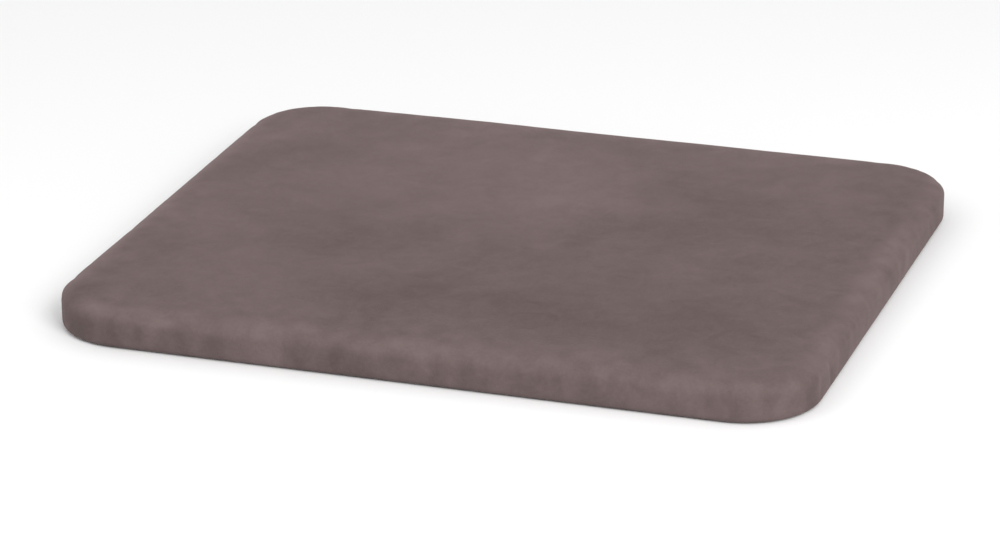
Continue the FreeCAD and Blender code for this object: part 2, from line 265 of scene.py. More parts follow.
def cover_profile():
    wall_top, wall_low = TOP_Z - ROLL_HIGH, FOOT_Z + FOOT_ROLL
    rows = [ZIP_Z + WINDOW_HALF, ZIP_Z + WINDOW_HALF / 3, ZIP_Z - WINDOW_HALF / 3]
    rows += [ZIP_Z - WINDOW_HALF, wall_low]
    path = [(ROLL_WIDE + 5 * MM, TOP_Z)]
    path += quarter(7, ROLL_WIDE, ROLL_HIGH, TOP_Z)
    path += [(0.0, (wall_top + rows[0]) / 2)]
    path += [(0.0, height) for height in rows]
    path += foot(4, FOOT_ROLL, FOOT_Z)
    path += [(HEM_INSET - 2.5 * MM, FOOT_Z), (HEM_INSET - 0.4 * MM, FOOT_Z)]
    path += [(HEM_INSET, FOOT_Z + 0.4 * MM), (HEM_INSET, WELL_Z), (HEM_INSET + 4 * MM, WELL_Z)]
    return path


cover = pad_form("cover_velour", HALF_X, HALF_Y, CORNER, cover_profile(), COVER_CELL)
print("cover laid out with", len(cover.data.vertices), "points")


# %% [markdown]
# ## Fill it with cloth simulation
# A drawn profile is too even for sewn fabric over foam. The cover is simulated as cloth under
# a little pressure, with the underside and the seam round the zip held still, and then each
# point's move is limited smoothly, because foam keeps its shape and only the skin gives. The
# moves crown the top by a millimetre or so and let the wall pull in between its corners.

# %% Cloth under pressure
CAP_UP, CAP_OUT = 1.6 * MM, 0.9 * MM


def held_weights(points):
    """1 where the cover is sewn or rests, falling to 0 where it is free."""
    under = np.clip((FOOT_Z + 4.5 * MM - points[:, 2]) / (3 * MM), 0, 1)
    past_end = np.maximum(np.abs(points[:, 0]) - WINDOW_END, 0)
    from_wall = np.maximum(HALF_Y - points[:, 1], 0)
    seam = np.clip(1 - past_end / (90 * MM) - from_wall / (16 * MM), 0, 1)
    return np.maximum(under, seam)


def puff(piece, frames=16):
    """Runs Cloth on the piece and keeps its moves, limited, in the mesh."""
    rest = points_of(piece.data)
    held = held_weights(rest)
    group = piece.vertex_groups.new(name="held")
    for index in np.nonzero(held > 0.02)[0]:
        group.add([int(index)], float(held[index]), "REPLACE")
    cloth = piece.modifiers.new("puff", "CLOTH")
    settings = cloth.settings
    settings.quality = 5
    settings.mass = 0.3
    settings.use_pressure = True
    settings.uniform_pressure_force = 0.3
    settings.tension_stiffness = 40
    settings.compression_stiffness = 40
    settings.bending_stiffness = 2.0
    settings.vertex_group_mass = "held"
    settings.effector_weights.gravity = 0
    cloth.collision_settings.use_collision = False
    cloth.collision_settings.use_self_collision = False
    scene = bpy.context.scene
    cloth.point_cache.frame_start, cloth.point_cache.frame_end = 1, frames
    for number in range(1, frames + 1):
        scene.frame_set(number)
    moved = points_of(evaluated(piece).data) - rest
    piece.modifiers.remove(cloth)
    scene.frame_set(1)
    piece.vertex_groups.remove(group)
    caps = np.array([CAP_OUT, CAP_OUT, CAP_UP])
    limited = moved * caps / np.sqrt(caps**2 + moved**2)
    limited *= (1 - held)[:, None]
    move_points(piece, rest + limited)
    return np.abs(moved).max(0), np.abs(limited).max(0)


free, kept = puff(cover)
print("cloth moved up to", free.round(4), "m, kept", kept.round(4))


# %% [markdown]
# ## Open the cover for the zip
# The zip shows through a long slot in the back wall. The cells behind it are taken out, and
# the edge of the hole is drawn inwards twice, so that subdivision turns it into a soft folded
# lip instead of a cut edge. A floor closes the slot behind the tapes.

# %% Cut the slot and fold its lip
LIP_DEPTH = 3.3 * MM


def snap_to_slot(mesh):
    """Moves the nearest column of points at the back wall onto each end of the slot."""
    at_back = [v for v in mesh.vertices if v.co.y > HALF_Y - 3 * MM]
    inside = [v for v in at_back if abs(v.co.z - ZIP_Z) < WINDOW_HALF + 2 * MM]
    for end in (-WINDOW_END, WINDOW_END):
        column = min((v.co.x for v in inside), key=lambda x: abs(x - end))
        for vertex in inside:
            if abs(vertex.co.x - column) < 0.5 * MM:
                vertex.co.x = end


def open_slot(piece):
    snap_to_slot(piece.data)
    shape = bmesh.new()
    shape.from_mesh(piece.data)

    def in_slot(face):
        middle = face.calc_center_median()
        in_height = abs(middle.z - ZIP_Z) < WINDOW_HALF
        return middle.y > HALF_Y - 3 * MM and abs(middle.x) < WINDOW_END and in_height

    hole = [face for face in shape.faces if in_slot(face)]
    for depth in (0.5 * MM, 1.0 * MM, LIP_DEPTH - 1.5 * MM):
        made = bmesh.ops.extrude_face_region(shape, geom=hole)
        bmesh.ops.delete(shape, geom=hole, context="FACES_KEEP_BOUNDARY")
        hole = [item for item in made["geom"] if isinstance(item, bmesh.types.BMFace)]
        moved = {vertex for face in hole for vertex in face.verts}
        for vertex in moved:
            vertex.co.y -= depth
    bmesh.ops.recalc_face_normals(shape, faces=shape.faces)
    shape.to_mesh(piece.data)
    shape.free()
    return len(hole)


print("slot cells", open_slot(cover))


# %% Smooth the skin once
subdivide(cover)
print("cover now", len(cover.data.vertices), "points")


# %% [markdown]
# ## Gathers and hand marks
# Velour that is pulled round a foam corner has a little too much cloth there, and it falls
# into short upright gathers. Each gather is a shallow groove at one place round the pad,
# deepest in the middle of the wall. The corners get most of them, and the long walls a few
# weak ones. A slow swell round the outline keeps the edge from being ruler straight.

# %% Where a point is round the pad
STRAIGHT_X, STRAIGHT_Y = 2 * (HALF_X - CORNER), 2 * (HALF_Y - CORNER)
BEND = CORNER * math.pi / 2
ROUND = 2 * (STRAIGHT_X + STRAIGHT_Y) + 4 * BEND


def round_position(points):
    """Distance round the outline from the front left corner's left end, and outward direction."""
    x, y = points[:, 0], points[:, 1]
    core_x = np.clip(x, -STRAIGHT_X / 2, STRAIGHT_X / 2)
    core_y = np.clip(y, -STRAIGHT_Y / 2, STRAIGHT_Y / 2)
    out_x, out_y = x - core_x, y - core_y
    reach = np.hypot(out_x, out_y)
    inner = reach < 1e-6
    reach = np.where(inner, 1.0, reach)
    direction = np.column_stack([out_x / reach, out_y / reach])
    turn = np.arctan2(direction[:, 1], direction[:, 0])
    swing = np.mod(turn + math.pi, 2 * math.pi)
    corner_index = np.floor(swing / (math.pi / 2) - 1e-9).clip(0, 3)
    along_bend = (swing - corner_index * math.pi / 2) * CORNER
    lengths = np.array([STRAIGHT_X, STRAIGHT_Y, STRAIGHT_X, STRAIGHT_Y])
    starts = np.concatenate([[0], np.cumsum(BEND + lengths)])[:4]
    index = corner_index.astype(int)
    place = starts[index] + along_bend
    sides = [
        (np.isclose(direction[:, 1], -1), BEND + (core_x + STRAIGHT_X / 2)),
        (np.isclose(direction[:, 0], 1), starts[1] + BEND + (core_y + STRAIGHT_Y / 2)),
        (np.isclose(direction[:, 1], 1), starts[2] + BEND + (STRAIGHT_X / 2 - core_x)),
        (np.isclose(direction[:, 0], -1), starts[3] + BEND + (STRAIGHT_Y / 2 - core_y)),
    ]
    for chosen, along in sides:
        place = np.where(chosen, along, place)
    return place, direction, inner


# %% Draw the gathers
GATHERS = random.Random(11)
CORNER_MIDDLES = [BEND / 2 + k for k in np.cumsum([0, BEND + STRAIGHT_X, BEND + STRAIGHT_Y,
                                                    BEND + STRAIGHT_X])]


def gather_list():
    """Each gather: place round the pad, width, depth and lean."""
    gathers = []
    for middle in CORNER_MIDDLES:
        for _ in range(13):
            place = middle + GATHERS.gauss(0, 0.42) * BEND
            width = GATHERS.uniform(1.6, 4.2) * MM
            depth = GATHERS.uniform(0.18, 0.60) * MM
            gathers.append((place, width, depth, GATHERS.uniform(-0.5, 0.5)))
    for _ in range(90):
        place = GATHERS.uniform(0, ROUND)
        width = GATHERS.uniform(2.5, 8.0) * MM
        depth = GATHERS.uniform(0.05, 0.22) * MM
        gathers.append((place, width, depth, GATHERS.uniform(-0.6, 0.6)))
    return gathers


def gather_depth(place, height, gathers):
    """How far the wall is drawn in at each point."""
    depth = np.zeros(len(place))
    for centre, width, deep, lean in gathers:
        line = centre + lean * (height - 0.5 * TOP_Z)
        away = np.mod(place - line + ROUND / 2, ROUND) - ROUND / 2
        depth += deep * np.exp(-((away / width) ** 2))
    return depth


def swell(place, turns, seed):
    """A slow wave round the outline, made of a few whole numbers of turns."""
    wave = np.zeros(len(place))
    source = random.Random(seed)
    for count in turns:
        shift = source.uniform(0, 2 * math.pi)
        wave += source.uniform(0.5, 1.0) * np.sin(2 * math.pi * count * place / ROUND + shift)
    return wave / len(turns)


def smooth_step(low, high, value):
    share = np.clip((value - low) / (high - low), 0, 1)
    return share * share * (3 - 2 * share)


def settle_wall(piece):
    """Presses the gathers and the swell into the wall and the roll, and leaves the slot alone."""
    points = points_of(piece.data)
    place, direction, inner = round_position(points)
    height = points[:, 2]
    on_wall = smooth_step(FOOT_Z, FOOT_Z + 5 * MM, height)
    edge = np.minimum(HALF_X - np.abs(points[:, 0]), HALF_Y - np.abs(points[:, 1]))
    on_wall *= 1 - smooth_step(6 * MM, 22 * MM, edge)
    beside_slot = smooth_step(12 * MM, 45 * MM, np.abs(points[:, 0]) - WINDOW_END)
    on_wall *= np.where(points[:, 1] > 0, beside_slot, 1.0)
    on_wall[inner] = 0.0
    in_by = gather_depth(place, height, gather_list())
    in_by += 0.35 * MM * swell(place, (3, 5, 9, 14, 23), 4)
    points[:, :2] -= direction * (in_by * on_wall)[:, None]
    move_points(piece, points)
    return in_by.max()


print("deepest gather", round(settle_wall(cover) / MM, 2), "mm")


# %% Press soft hollows into the top
def soft_noise(points, scale, seed):
    """Smooth noise from -1 to 1 at each point, with the scale in metres."""
    shift = Vector((seed * 7.3, seed * 3.1, seed * 5.7))
    return np.array([noise.noise(Vector(p) / scale + shift) for p in points])


def settle_top(piece):
    """Slow hollows in the foam and small ones in the pile, over the top and its roll."""
    points = points_of(piece.data)
    on_top = smooth_step(TOP_Z - ROLL_HIGH, TOP_Z - 1 * MM, points[:, 2])
    slow = soft_noise(points, 0.11, 1)
    small = soft_noise(points, 0.017, 2)
    points[:, 2] += on_top * (0.45 * MM * slow + 0.10 * MM * small)
    move_points(piece, points)


settle_top(cover)


# %% [markdown]
# ## Shader helpers
# Materials here are node trees. A few short helpers make nodes, join sockets and build node
# groups with named inputs and outputs, so that each finish below reads as a list of steps.

# %% Node helpers
def join(tree, source, target):
    """Links a socket to an input, or sets the input if the source is a plain value."""
    if isinstance(source, bpy.types.NodeSocket):
        tree.links.new(source, target)
    else:
        target.default_value = source


def add_node(tree, kind, **settings):
    """A node of a kind. A setting names a property, or an input and its value or source."""
    node = tree.nodes.new(kind)
    for name, setting in settings.items():
        if hasattr(node, name):
            setattr(node, name, setting)
        else:
            join(tree, setting, node.inputs[name.replace("_", " ")])
    return node


def math_node(tree, operation, *sources, clamp=False):
    """A Math node whose inputs are sockets or plain numbers. Returns its output."""
    node = add_node(tree, "ShaderNodeMath", operation=operation, use_clamp=clamp)
    for source, target in zip(sources, node.inputs):
        join(tree, source, target)
    return node.outputs[0]


def mix_colors(tree, factor, low, high):
    """Blends two colours, each a socket or a tuple, by a factor. Returns the colour."""
    node = add_node(tree, "ShaderNodeMix", data_type="RGBA")
    for source, index in ((factor, 0), (low, 6), (high, 7)):
        join(tree, source, node.inputs[index])
    return node.outputs[2]


def noise_at(tree, vector, scale, detail=2.0, roughness=0.5, distortion=0.0):
    """Noise about 0.5 at a scale in repeats for each metre."""
    node = add_node(tree, "ShaderNodeTexNoise", Vector=vector, Scale=scale, Detail=detail,
                    Roughness=roughness, Distortion=distortion)
    return node.outputs["Fac"]


def new_socket(tree, label, way, kind, start=None):
    """A socket on the outside of a node group, with the value that it starts from."""
    socket = tree.interface.new_socket(label.replace("_", " "), in_out=way,
                                       socket_type="NodeSocket" + kind)
    if start is not None:
        socket.default_value = start


def new_group(name, outputs=("Color", "Height"), **inputs):
    """A shader group with a Vector and named inputs. Returns it and its two ends' sockets."""
    tree = bpy.data.node_groups.new(name, "ShaderNodeTree")
    new_socket(tree, "Vector", "INPUT", "Vector")
    for label, start in inputs.items():
        new_socket(tree, label, "INPUT", "Float" if isinstance(start, float) else "Color", start)
    for label in outputs:
        new_socket(tree, label, "OUTPUT", "Color" if label == "Color" else "Float")
    start, end = tree.nodes.new("NodeGroupInput"), tree.nodes.new("NodeGroupOutput")
    return tree, start.outputs, end.inputs


def new_material(name, roughness, **constants):
    """A material with a Principled shader whose even values are set on its own sockets."""
    material = bpy.data.materials.new(name)
    material.use_nodes = True
    tree = material.node_tree
    shader = tree.nodes["Principled BSDF"]
    shader.inputs["Roughness"].default_value = roughness
    for label, setting in constants.items():
        shader.inputs[label.replace("_", " ")].default_value = setting
    place = tree.nodes.new("ShaderNodeTexCoord").outputs["Object"]
    return material, tree, shader, place


def use_group(tree, group, **settings):
    """The outputs of a node that runs the group with the given inputs."""
    return add_node(tree, "ShaderNodeGroup", node_tree=group, **settings).outputs


def coat(tree, shader, color, height, distance, strength):
    """Joins a colour to the shader, and a height to its normal by way of a bump."""
    bump = add_node(tree, "ShaderNodeBump", Distance=distance, Strength=strength,
                    Height=height)
    join(tree, color, shader.inputs["Base Color"])
    join(tree, bump.outputs["Normal"], shader.inputs["Normal"])


def linear(red, green, blue):
    """A screen colour from 0 to 255 as the linear colour that a shader takes."""
    def channel(value):
        share = value / 255
        return share / 12.92 if share <= 0.04045 else ((share + 0.055) / 1.055) ** 2.4
    return channel(red), channel(green), channel(blue), 1.0


def speckled(name, roughness, dark, light, scale, grain, bump, detail=2.0, **constants):
    """A material that drifts between two colours, with a fine grain. Bump: depth, strength."""
    material, tree, shader, place = new_material(name, roughness, **constants)
    drift = noise_at(tree, place, scale, detail=detail)
    color = mix_colors(tree, drift, linear(*dark), linear(*light))
    coat(tree, shader, color, noise_at(tree, place, grain), *bump)
    return material


# %% [markdown]
# ## Velour
# Velour is a short dense pile. Pile that leans towards you looks dark and pile that leans
# away looks light, so a brushed cloth shows soft patches wherever a hand has passed. The
# group below makes those patches at three sizes, from a hand's width down to tufts, adds the
# broad values that the pad's own surface carries as an attribute, which hold painted light and
# shade as well as streaks in the pile, and gives a height for the fine grain. Sheen on the
# shader does the rest: it lightens the pile where it is seen edge on.

# %% The nap group
def make_nap_group():
    tree, start, end = new_group("nap", Brushed=0.0, Light_Nap=linear(124, 108, 107),
                                 Dark_Nap=linear(75, 64, 63))
    vector = start["Vector"]
    patches = noise_at(tree, vector, 12.0, detail=3.0, roughness=0.55, distortion=0.6)
    strokes = noise_at(tree, vector, 55.0, detail=3.0, roughness=0.6, distortion=1.0)
    tufts = noise_at(tree, vector, 420.0, roughness=0.6)
    pile = noise_at(tree, vector, 2600.0)
    total = 0.0
    for layer, weight in ((patches, 0.55), (strokes, 0.34), (tufts, 0.22), (pile, 0.34)):
        part = math_node(tree, "MULTIPLY", math_node(tree, "SUBTRACT", layer, 0.5), weight)
        total = math_node(tree, "ADD", total, part)
    # The attribute brings painted light and shade, with the pile's streaks, into the mix.
    total = math_node(tree, "ADD", total, start["Brushed"])
    factor = math_node(tree, "ADD", total, 0.5, clamp=True)
    color = mix_colors(tree, factor, start["Dark Nap"], start["Light Nap"])
    join(tree, color, end["Color"])
    grain = math_node(tree, "MULTIPLY", pile, 0.8)
    height = math_node(tree, "ADD", grain, math_node(tree, "MULTIPLY", tufts, 0.2))
    join(tree, height, end["Height"])
    return tree


NAP = make_nap_group()


# %% Broad painted light and shade over the pad, as an attribute
# Each patch: place as shares of the half length and half width, size as shares, strength. The
# patches are painted light and shade: a negative strength paints shade, a positive one paints
# light.
NAP_AND_LIGHT_PATCHES = [
    (0.55, 0.05, 0.50, 0.45, -0.18),
    (0.45, -0.62, 0.60, 0.30, -0.24),
    (-0.35, -0.20, 0.40, 0.22, -0.08),
    (-0.10, -0.66, 0.30, 0.18, -0.09),
    (-0.72, 0.35, 0.20, 0.50, -0.04),
    (-0.35, 0.66, 0.45, 0.25, 0.13),
    (0.00, 0.25, 0.24, 0.30, 0.16),
    (0.85, -0.50, 0.15, 0.40, -0.04),
    (-0.92, -0.88, 0.16, 0.16, -0.16),
]


def paint_nap_and_light(piece):
    """Stores painted light and shade with the pile's streaks at each point, from the patches, the
    wall and the roll.
    """
    points = points_of(piece.data)
    across, along = points[:, 0] / HALF_X, points[:, 1] / HALF_Y
    shade = np.zeros(len(points))
    # Painted light and shade: each patch lightens or darkens the pile's colour over its area.
    for x, y, wide, deep, strength in NAP_AND_LIGHT_PATCHES:
        shade += strength * np.exp(-(((across - x) / wide) ** 2) - ((along - y) / deep) ** 2)
    place, _, _ = round_position(points)
    height = (points[:, 2] - FOOT_Z) / (TOP_Z - FOOT_Z)
    edge = np.minimum(HALF_X - np.abs(points[:, 0]), HALF_Y - np.abs(points[:, 1]))
    wall = (1 - smooth_step(4 * MM, 16 * MM, edge)) * (1 - smooth_step(0.75, 0.98, height))
    streaks = np.column_stack([place, np.zeros(len(place)), points[:, 2] * 0.45])
    streak = soft_noise(streaks, 0.006, 4) * 0.35 + soft_noise(streaks, 0.011, 5) * 0.50
    streak += soft_noise(streaks, 0.026, 6) * 0.45
    # The streaks are the pile's own marks; the steady -0.10 is painted shade over the wall.
    shade += wall * (0.26 * streak - 0.10)
    rubbed = 1 - smooth_step(8 * MM, 60 * MM, edge)
    shade += (1 - wall) * rubbed * 0.14 * soft_noise(points, 0.012, 8)
    # Painted highlight along the roll over the top edge. On the front roll it is stronger at the
    # left and fades towards the right.
    roll = smooth_step(0.55, 0.85, height) * (1 - smooth_step(8 * MM, 20 * MM, edge))
    front = smooth_step(0.75, 0.95, -along)
    shade += (0.15 - (0.04 + 0.09 * across) * front) * roll
    attribute = piece.data.attributes.new("nap_and_painted_light", "FLOAT", "POINT")
    attribute.data.foreach_set("value", shade.astype(np.float32))
    return shade.min(), shade.max()


print("pile shade from", [round(float(v), 2) for v in paint_nap_and_light(cover)])


# %% The velour
def make_velour():
    material, tree, shader, place = new_material(
        "velour", 0.92, Sheen_Weight=0.28, Sheen_Roughness=0.35,
        Sheen_Tint=linear(196, 172, 170), Specular_IOR_Level=0.15,
    )
    # This attribute carries painted light and shade along with the pile's streaks.
    nap_and_painted_light = add_node(tree, "ShaderNodeAttribute", attribute_name="nap_and_painted_light")
    nap = use_group(tree, NAP, Vector=place, Brushed=nap_and_painted_light.outputs["Fac"])
    coat(tree, shader, nap["Color"], nap["Height"], 0.4 * MM, 0.5)
    return material


finish_piece(cover, make_velour(), "pad", "cover_velour", "velour_cover")


# %% [markdown]
# ## The foam layers
# Inside are a soft layer over a firm one. Both are cut with the same outline as the cover, so
# the same form makes them, set in far enough to leave the fabric and the zip their room. Foam
# shows its open cells, which are pores of very different sizes in a pale matrix. The pores are
# painted darker than the matrix, as painted shade in their hollows.

# %% Cut the foam
COMFORT_LOW, COMFORT_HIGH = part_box("comfort_foam")
SUPPORT_LOW, SUPPORT_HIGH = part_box("support_foam")
FOAM_INSET = 3.8 * MM
PRESSED = 0.8 * MM


def foam_layer(name, profile):
    layer = pad_form(name, HALF_X - FOAM_INSET, HALF_Y - FOAM_INSET, CORNER - FOAM_INSET,
                     profile)
    subdivide(layer)
    return layer


def comfort_profile():
    top = COMFORT_HIGH.z - PRESSED
    path = [(ROLL_WIDE + 5 * MM, top)] + quarter(4, ROLL_WIDE, 7 * MM, top)
    return path + [(0.2 * MM, COMFORT_LOW.z + 0.1 * MM), (12 * MM, COMFORT_LOW.z)]


def support_profile():
    top, low = SUPPORT_HIGH.z, SUPPORT_LOW.z
    path = [(12 * MM, top), (0.3 * MM, top - 0.1 * MM), (0.0, top - 1 * MM)]
    path += [(0.0, (top + low) / 2)]
    return path + foot(3, 2 * MM, low + 0.2 * MM) + [(12 * MM, low + 0.2 * MM)]


comfort = foam_layer("memory_foam", comfort_profile())
support = foam_layer("firm_foam", support_profile())


# %% The foam's cells
def make_foam_group():
    tree, start, end = new_group("foam_cells", Cell_Scale=900.0,
                                 Matrix_Color=linear(230, 222, 200),
                                 Pore_Color=linear(180, 168, 140))
    cells = add_node(tree, "ShaderNodeTexVoronoi", Vector=start["Vector"],
                     Scale=start["Cell Scale"]).outputs["Distance"]
    aged = noise_at(tree, start["Vector"], 14.0, detail=3.0)
    # Painted shade: the pores, at the cells' centres, take the darker colour.
    pore_shade = math_node(tree, "MULTIPLY", cells, 0.9)
    shade = math_node(tree, "ADD", pore_shade, math_node(tree, "MULTIPLY", aged, 0.3), clamp=True)
    join(tree, mix_colors(tree, shade, start["Pore Color"], start["Matrix Color"]), end["Color"])
    join(tree, cells, end["Height"])
    return tree


FOAM_CELLS = make_foam_group()


def make_foam(name, cell_scale, matrix, pore_shade):
    material, tree, shader, place = new_material(name, 0.95, Specular_IOR_Level=0.1)
    cells = use_group(tree, FOAM_CELLS, Vector=place, Cell_Scale=cell_scale,
                      Matrix_Color=matrix, Pore_Color=pore_shade)
    coat(tree, shader, cells["Color"], cells["Height"], 0.4 * MM, 0.7)
    return material


SOFT_FOAM = make_foam("soft_foam", 1100.0, linear(236, 226, 196), linear(196, 180, 140))
FIRM_FOAM = make_foam("firm_foam", 700.0, linear(214, 212, 206), linear(150, 148, 142))
finish_piece(comfort, SOFT_FOAM, "pad", "soft_foam", "comfort_foam")
finish_piece(support, FIRM_FOAM, "pad", "firm_foam", "support_foam")


# %% [markdown]
# ## The underside
# A woven panel closes the underside inside the hem. It is a flat sheet with a turned edge, cut
# to the opening, so its flat size is simply the size of that opening. The weave is made from
# two waves at right angles, over and under each other.

# %% Woven cloth
def make_weave_group():
    tree, start, end = new_group("weave", Threads=900.0, Warp_Color=linear(70, 66, 66),
                                 Weft_Color=linear(52, 49, 50))
    parts = add_node(tree, "ShaderNodeSeparateXYZ", Vector=start["Vector"]).outputs
    # The third axis is in both waves, so that upright cloth is woven too.
    along = math_node(tree, "ADD", parts["X"], parts["Z"])
    across = math_node(tree, "SUBTRACT", parts["Y"], parts["Z"])
    waves = []
    for axis in (along, across):
        turn = math_node(tree, "MULTIPLY", axis, start["Threads"])
        waves.append(math_node(tree, "SINE", math_node(tree, "MULTIPLY", turn, math.pi)))
    over = math_node(tree, "MULTIPLY", *waves)
    fuzz = noise_at(tree, start["Vector"], 60.0, detail=4.0)
    factor = math_node(tree, "ADD", math_node(tree, "MULTIPLY", over, 0.35), fuzz, clamp=True)
    join(tree, mix_colors(tree, factor, start["Weft Color"], start["Warp Color"]), end["Color"])
    join(tree, math_node(tree, "ADD", over, fuzz), end["Height"])
    return tree


WEAVE = make_weave_group()


def make_cloth(name, threads, warp, weft):
    material, tree, shader, place = new_material(
        name, 0.85, Sheen_Weight=0.15, Sheen_Roughness=0.5, Specular_IOR_Level=0.2)
    weave = use_group(tree, WEAVE, Vector=place, Threads=threads, Warp_Color=warp,
                      Weft_Color=weft)
    coat(tree, shader, weave["Color"], weave["Height"], 0.15 * MM, 0.5)
    return material


# %% The base panel
def base_profile():
    low, high = BASE_LOW.z, BASE_HIGH.z
    edge = 0.3 * MM
    path = [(10 * MM, high), (edge, high), (0.0, high - edge), (0.0, low + edge)]
    return path + [(edge, low), (10 * MM, low)]


BASE_CORNER = CORNER - HEM_INSET
base = pad_form("base_cloth", BASE_HIGH.x, BASE_HIGH.y, BASE_CORNER, base_profile())
base.data.shade_smooth()
BASE_CLOTH = make_cloth("base_weave", 1100.0, linear(104, 94, 92), linear(74, 66, 65))
finish_piece(base, BASE_CLOTH, "pad", "base_fabric", "base_panel")


# %% [markdown]
# ## Geometry Nodes for what repeats
# The grip dots, the stitches and the coil of the zip are small shapes repeated by rule. Each
# is a node tree that starts from a simple guide mesh, places copies, turns them into real
# geometry and sets the material. The result is then kept as a plain mesh.

# %% Tree helpers
def new_tree(name, **inputs):
    """A Geometry Nodes tree with named numbers. Returns it, its start's sockets and its end."""
    tree = bpy.data.node_groups.new(name, "GeometryNodeTree")
    new_socket(tree, "Geometry", "INPUT", "Geometry")
    for label, start in inputs.items():
        new_socket(tree, label, "INPUT", "Float", start)
    new_socket(tree, "Geometry", "OUTPUT", "Geometry")
    return tree, tree.nodes.new("NodeGroupInput").outputs, tree.nodes.new("NodeGroupOutput")


def place_copies(tree, end, material, **settings):
    """Ends a tree: a copy on each point, made real geometry, with its material."""
    place = add_node(tree, "GeometryNodeInstanceOnPoints", **settings)
    real = add_node(tree, "GeometryNodeRealizeInstances", Geometry=place.outputs["Instances"])
    paint = add_node(tree, "GeometryNodeSetMaterial", Geometry=real.outputs["Geometry"],
                     Material=material)
    join(tree, paint.outputs["Geometry"], end.inputs["Geometry"])


def grow(name, guide_points, guide_edges, tree, **values):
    """Runs a tree on a guide mesh with its own values, and keeps the result as a mesh."""
    guide = bpy.data.meshes.new(name + "_guide")
    guide.from_pydata(guide_points, guide_edges, [])
    piece = link_object(name, guide)
    modifier = piece.modifiers.new("grow", "NODES")
    modifier.node_group = tree
    for item in tree.interface.items_tree:
        label = item.name.replace(" ", "_")
        if item.in_out == "INPUT" and label in values:
            modifier[item.identifier] = values[label]
    keep_result(piece, modifier)
    return piece


# %% [markdown]
# ### Grip dots
# Small rubbery dots are printed on the base panel so that the pad doesn't creep on a floor.
# They sit in rows, each row shifted by half a step. Every dot is a low cone with a flat foot,
# and all the feet lie in one plane, which is what the pad stands on.

# %% Print the dots
DOT_PITCH = 10 * MM
GRIP_CORNER = CORNER - (HALF_X - GRIP_HIGH.x)


def dots_tree(material):
    tree, start, end = new_tree("grip_dots", Foot_Radius=0.0018, Root_Radius=0.0023,
                                Height=0.0008)
    dot = add_node(tree, "GeometryNodeMeshCone", Vertices=10, Radius_Top=start["Root Radius"],
                   Radius_Bottom=start["Foot Radius"], Depth=start["Height"])
    place_copies(tree, end, material, Points=start["Geometry"], Instance=dot.outputs["Mesh"])
    return tree


def dot_places():
    """Rows of places inside the round-cornered outline, each row shifted half a step."""
    half_x, half_y = GRIP_HIGH.x - 4 * MM, GRIP_HIGH.y - 4 * MM
    core_x, core_y = half_x - GRIP_CORNER, half_y - GRIP_CORNER
    row_step = DOT_PITCH * math.sqrt(3) / 2
    places = []
    rows = int(half_y / row_step)
    for row in range(-rows, rows + 1):
        shift = 0.5 * DOT_PITCH * (row % 2)
        columns = int(half_x / DOT_PITCH)
        for column in range(-columns - 1, columns + 1):
            x, y = column * DOT_PITCH + shift, row * row_step
            past = Vector((max(abs(x) - core_x, 0), max(abs(y) - core_y, 0)))
            if past.length < GRIP_CORNER:
                places.append((x, y, GRIP_LOW.z))
    return places


RUBBER = speckled("grip_rubber", roughness=0.55, dark=(34, 33, 34), light=(62, 60, 60),
                  scale=40.0, grain=1500.0, bump=(0.05 * MM, 0.5), detail=4.0)
dots = grow("grip_dots", dot_places(), [], dots_tree(RUBBER),
            Height=GRIP_HIGH.z - GRIP_LOW.z)
finish_piece(dots, RUBBER, "pad", "grip_dots", "grip_layer")


# %% [markdown]
# ### Stitches
# A row of lockstitch is a line of short rounded strands with a small dip between them. The
# guide is the seam as a closed loop of edges, and the tree lays a strand every few millimetres
# along it, turned to follow the seam.

# %% Sew the seams
def stitch_tree(material):
    tree, start, end = new_tree("stitches", Step=0.003, Strand_Length=0.0026,
                                Strand_Width=0.0005)
    seam = add_node(tree, "GeometryNodeMeshToCurve", Mesh=start["Geometry"])
    spots = add_node(tree, "GeometryNodeCurveToPoints", mode="LENGTH",
                     Curve=seam.outputs["Curve"], Length=start["Step"]).outputs
    strand = add_node(tree, "GeometryNodeMeshUVSphere", Segments=6, Rings=6, Radius=0.5)
    shape = add_node(tree, "ShaderNodeCombineXYZ", X=start["Strand Width"],
                     Y=start["Strand Width"], Z=start["Strand Length"])
    place_copies(tree, end, material, Points=spots["Points"], Instance=strand.outputs["Mesh"],
                 Scale=shape.outputs["Vector"], Rotation=spots["Rotation"])
    return tree


def closed_loop(points):
    return points, [(i, (i + 1) % len(points)) for i in range(len(points))]


def hem_seam():
    """The seam round the underside, in the middle of the hem thread's ring."""
    low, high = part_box("hem_thread")
    inset = HALF_X - high.x + (high.z - low.z)
    centres, directions, _, _ = outline(HALF_X, HALF_Y, CORNER, SEAM_CELL)
    flat = centres + directions * (CORNER - inset)
    level = (low.z + high.z) / 2
    return closed_loop([(x, y, level) for x, y in flat.tolist()])


def zip_seam():
    """The seam round the zip's window, on the outside of the back wall."""
    width = (THREAD_HIGH.y - THREAD_LOW.y) * 2
    half_x = THREAD_HIGH.x - width / 2
    half_z = (THREAD_HIGH.z - THREAD_LOW.z) / 2 - width / 2
    centres, directions, _, _ = outline(half_x, half_z, 2 * MM, SEAM_CELL)
    flat = centres + directions * 2 * MM
    level = THREAD_LOW.y + 0.12 * MM
    return closed_loop([(x, level, ZIP_Z + z) for x, z in flat.tolist()])


